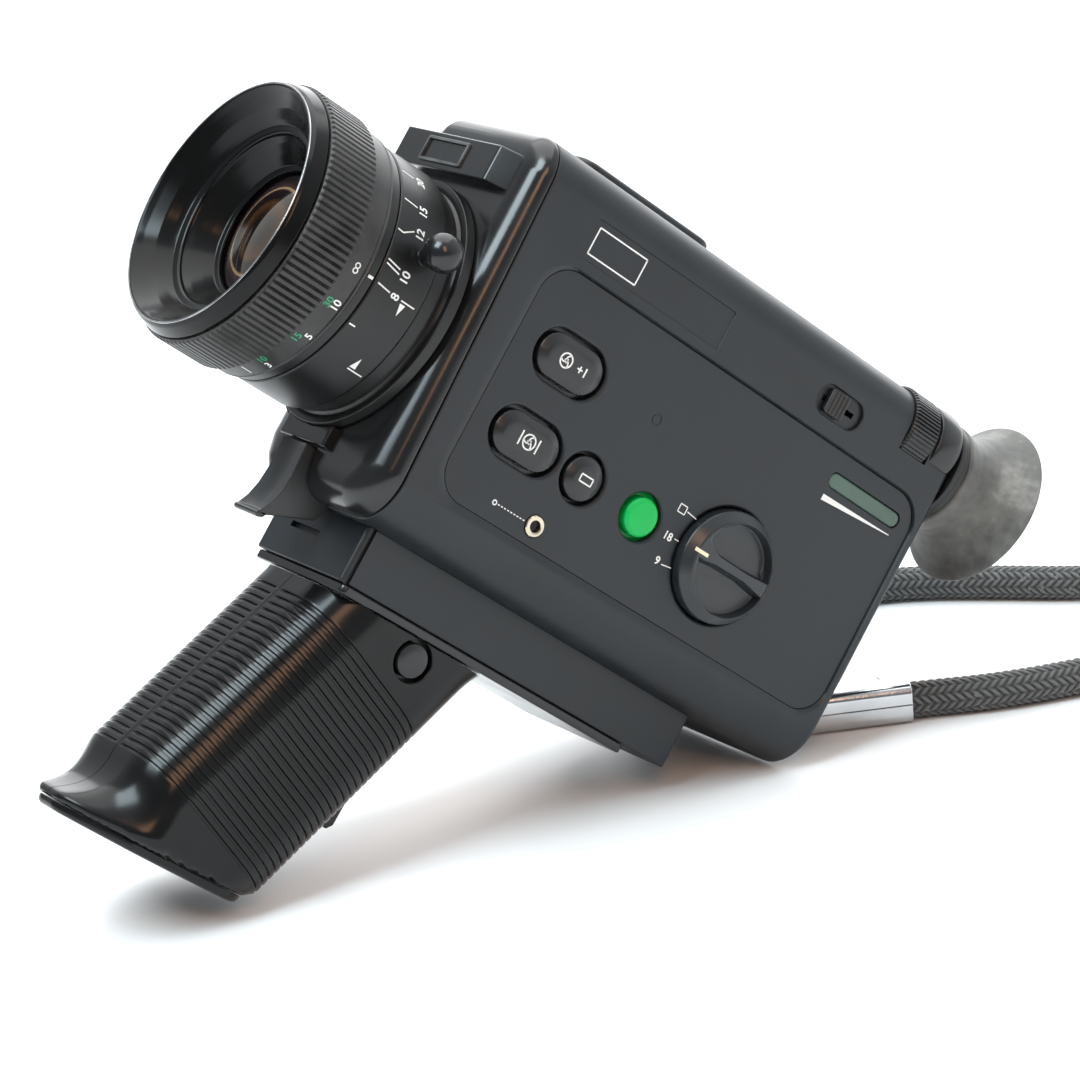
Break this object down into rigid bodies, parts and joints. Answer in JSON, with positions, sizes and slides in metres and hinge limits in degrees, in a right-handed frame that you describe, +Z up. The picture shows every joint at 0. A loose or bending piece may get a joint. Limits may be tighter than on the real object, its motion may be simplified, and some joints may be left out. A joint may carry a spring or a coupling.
{
  "type": "cine camera",
  "caption": "Hand-held Super 8 cine camera with zoom lens, pistol grip, trigger, side control panel, eyecup and braided wrist strap, resting nose up.",
  "frame": {"origin": "centre of the bounding box's bottom face, on the floor that the camera rests on, with the strap left out", "axes": "+Z up, -X the way the lens leans, -Y the control-panel side, +Y the film-door side; the camera itself is tilted nose up by 39.2 degrees about Y, so that the heel of its grip and the rear edge of its body both touch the floor"},
  "size_m": [0.329, 0.1092, 0.1568],
  "materials": {
    "casing_plastic": "satin black moulded plastic with a very fine grain",
    "gloss_plastic": "glossy black moulded plastic",
    "button_plastic": "smooth black plastic",
    "green_plastic": "bright green plastic",
    "black_anodised": "black anodised aluminium, satin",
    "focus_rubber": "ribbed black plastic",
    "cup_rubber": "soft dusty black rubber",
    "coated_glass": "optical glass with an amber and violet coating",
    "counter_window": "grey-green clear plastic pane",
    "steel": "plain machined steel",
    "chrome": "bright chromed sheet steel",
    "brass": "turned brass",
    "cell_jacket": "printed metal jacket without lettering",
    "board": "green circuit board laminate",
    "cartridge_plastic": "matt black plastic film cartridge",
    "braided_cord": "round black braided cord, herringbone"
  },
  "bodies": {
    "camera_body": {"control_shell": "casing_plastic", "film_shell": "casing_plastic", "door_hinge_pin": "steel", "door_hinge_ear_low": "casing_plastic", "door_hinge_ear_high": "casing_plastic", "front_housing": "gloss_plastic", "nameplate_block": "gloss_plastic", "top_cover": "casing_plastic", "foot_block": "casing_plastic", "base_plate": "gloss_plastic", "trigger_pin": "steel", "grip_near_half": "gloss_plastic", "grip_far_half": "gloss_plastic", "battery_cell_1": "cell_jacket", "battery_cell_2": "cell_jacket", "battery_cell_3": "cell_jacket", "battery_cell_4": "cell_jacket", "lens_barrel": "black_anodised", "index_ring": "black_anodised", "relay_lens": "coated_glass", "control_panel": "casing_plastic", "release_socket": "brass", "counter_window": "counter_window", "viewfinder_tube": "black_anodised", "eyepiece_tube": "black_anodised", "eyepiece_collar": "black_anodised", "eyecup": "cup_rubber", "eyepiece_lens": "coated_glass", "film_cartridge": "cartridge_plastic", "film_gate": "steel", "drive_motor": "steel", "circuit_board": "board", "strap_lug": "chrome", "strap_link": "chrome", "strap_ferrule_near": "chrome", "strap_ferrule_far": "chrome", "strap_cord": "braided_cord"},
    "film_door": {"film_door": "casing_plastic"},
    "door_latch": {"door_latch": "button_plastic"},
    "trigger": {"trigger": "button_plastic"},
    "focus_group": {"focus_ring": "focus_rubber", "front_hood": "black_anodised", "front_lens": "coated_glass"},
    "zoom_group": {"zoom_ring": "black_anodised", "zoom_lever": "gloss_plastic"},
    "variator": {"variator_lens": "coated_glass"},
    "speed_dial": {"speed_dial": "button_plastic"},
    "exposure_plus_button": {"exposure_plus_button": "button_plastic"},
    "exposure_lock_button": {"exposure_lock_button": "button_plastic"},
    "battery_test_button": {"battery_test_button": "button_plastic"},
    "green_run_button": {"green_run_button": "green_plastic"},
    "slide_switch": {"slide_switch": "button_plastic"},
    "dioptre_wheel": {"dioptre_wheel": "button_plastic"},
    "base_cover": {"grip_base_cover": "gloss_plastic"},
    "grip_button": {"grip_button": "button_plastic"},
    "grip_latch": {"grip_latch": "gloss_plastic"},
    "shutter": {"shutter": "steel"},
    "motor_pinion": {"motor_pinion": "brass"},
    "take_up_spindle": {"take_up_spindle": "button_plastic"},
    "claw": {"claw": "steel"}
  },
  "joints": [
    {"name": "trigger_pull", "type": "hinge", "parent": "camera_body", "child": "trigger", "pos_m": [-0.04506, 0.0025, 0.0793], "axis": [0, -1, 0], "range_deg": [0, 8], "stiffness_Nm_per_rad": 0.3},
    {"name": "focus_turn", "type": "hinge", "parent": "camera_body", "child": "focus_group", "pos_m": [-0.05548, 0.0025, 0.13112], "axis": [-0.7754, 0, 0.6315], "range_deg": [0, 110]},
    {"name": "zoom_turn", "type": "hinge", "parent": "camera_body", "child": "zoom_group", "pos_m": [-0.03842, 0.0025, 0.11722], "axis": [-0.7754, 0, 0.6315], "range_deg": [-95, 40]},
    {"name": "variator_travel", "type": "slide", "parent": "camera_body", "child": "variator", "axis": [0.7754, 0, -0.6315], "range_m": [-0.007, 0.0032]},
    {"name": "speed_dial_turn", "type": "hinge", "parent": "camera_body", "child": "speed_dial", "pos_m": [0.02851, -0.0252, 0.04865], "axis": [0, -1, 0], "range_deg": [-22, 22]},
    {"name": "exposure_plus_press", "type": "slide", "parent": "camera_body", "child": "exposure_plus_button", "axis": [0, 1, 0], "range_m": [0, 0.0012], "stiffness_N_per_m": 250},
    {"name": "exposure_lock_press", "type": "slide", "parent": "camera_body", "child": "exposure_lock_button", "axis": [0, 1, 0], "range_m": [0, 0.0012], "stiffness_N_per_m": 250},
    {"name": "battery_test_press", "type": "slide", "parent": "camera_body", "child": "battery_test_button", "axis": [0, 1, 0], "range_m": [0, 0.0012], "stiffness_N_per_m": 250},
    {"name": "green_run_press", "type": "slide", "parent": "camera_body", "child": "green_run_button", "axis": [0, 1, 0], "range_m": [0, 0.0012], "stiffness_N_per_m": 250},
    {"name": "slide_switch_travel", "type": "slide", "parent": "camera_body", "child": "slide_switch", "axis": [0.7754, 0, -0.6315], "range_m": [-0.0014, 0.004]},
    {"name": "dioptre_turn", "type": "hinge", "parent": "camera_body", "child": "dioptre_wheel", "pos_m": [0.08054, -0.0172, 0.0647], "axis": [0.7754, 0, -0.6315], "range_deg": [-60, 60]},
    {"name": "film_door_swing", "type": "hinge", "parent": "camera_body", "child": "film_door", "pos_m": [0.00277, 0.0308, 0.08419], "axis": [0.6315, 0, 0.7754], "range_deg": [0, 110]},
    {"name": "door_latch_travel", "type": "slide", "parent": "film_door", "child": "door_latch", "axis": [-0.7754, 0, 0.6315], "range_m": [0, 0.003], "stiffness_N_per_m": 150},
    {"name": "base_cover_swing", "type": "hinge", "parent": "camera_body", "child": "base_cover", "pos_m": [-0.11322, 0.0025, 0.03093], "axis": [0, 1, 0], "range_deg": [0, 90]},
    {"name": "grip_button_press", "type": "slide", "parent": "camera_body", "child": "grip_button", "axis": [0, 1, 0], "range_m": [0, 0.001], "stiffness_N_per_m": 250},
    {"name": "grip_latch_travel", "type": "slide", "parent": "camera_body", "child": "grip_latch", "axis": [-0.8631, 0, -0.5051], "range_m": [0, 0.003], "stiffness_N_per_m": 150},
    {"name": "shutter_spin", "type": "hinge", "parent": "camera_body", "child": "shutter", "pos_m": [-0.00548, 0.0025, 0.06899], "axis": [0.7754, 0, -0.6315], "continuous": true},
    {"name": "pinion_spin", "type": "hinge", "parent": "camera_body", "child": "motor_pinion", "pos_m": [-0.01626, 0.0025, 0.06209], "axis": [0.7754, 0, -0.6315], "continuous": true},
    {"name": "take_up_spin", "type": "hinge", "parent": "camera_body", "child": "take_up_spindle", "pos_m": [0.03896, -0.0125, 0.0542], "axis": [0, 1, 0], "continuous": true},
    {"name": "claw_stroke", "type": "slide", "parent": "camera_body", "child": "claw", "axis": [-0.6315, 0, -0.7754], "range_m": [0, 0.0042]}
  ],
  "couplings": [
    {"joint": "pinion_spin", "follows": "shutter_spin", "ratio": -3},
    {"joint": "variator_travel", "follows": "zoom_turn", "m_per_rad": 0.004}
  ]
}
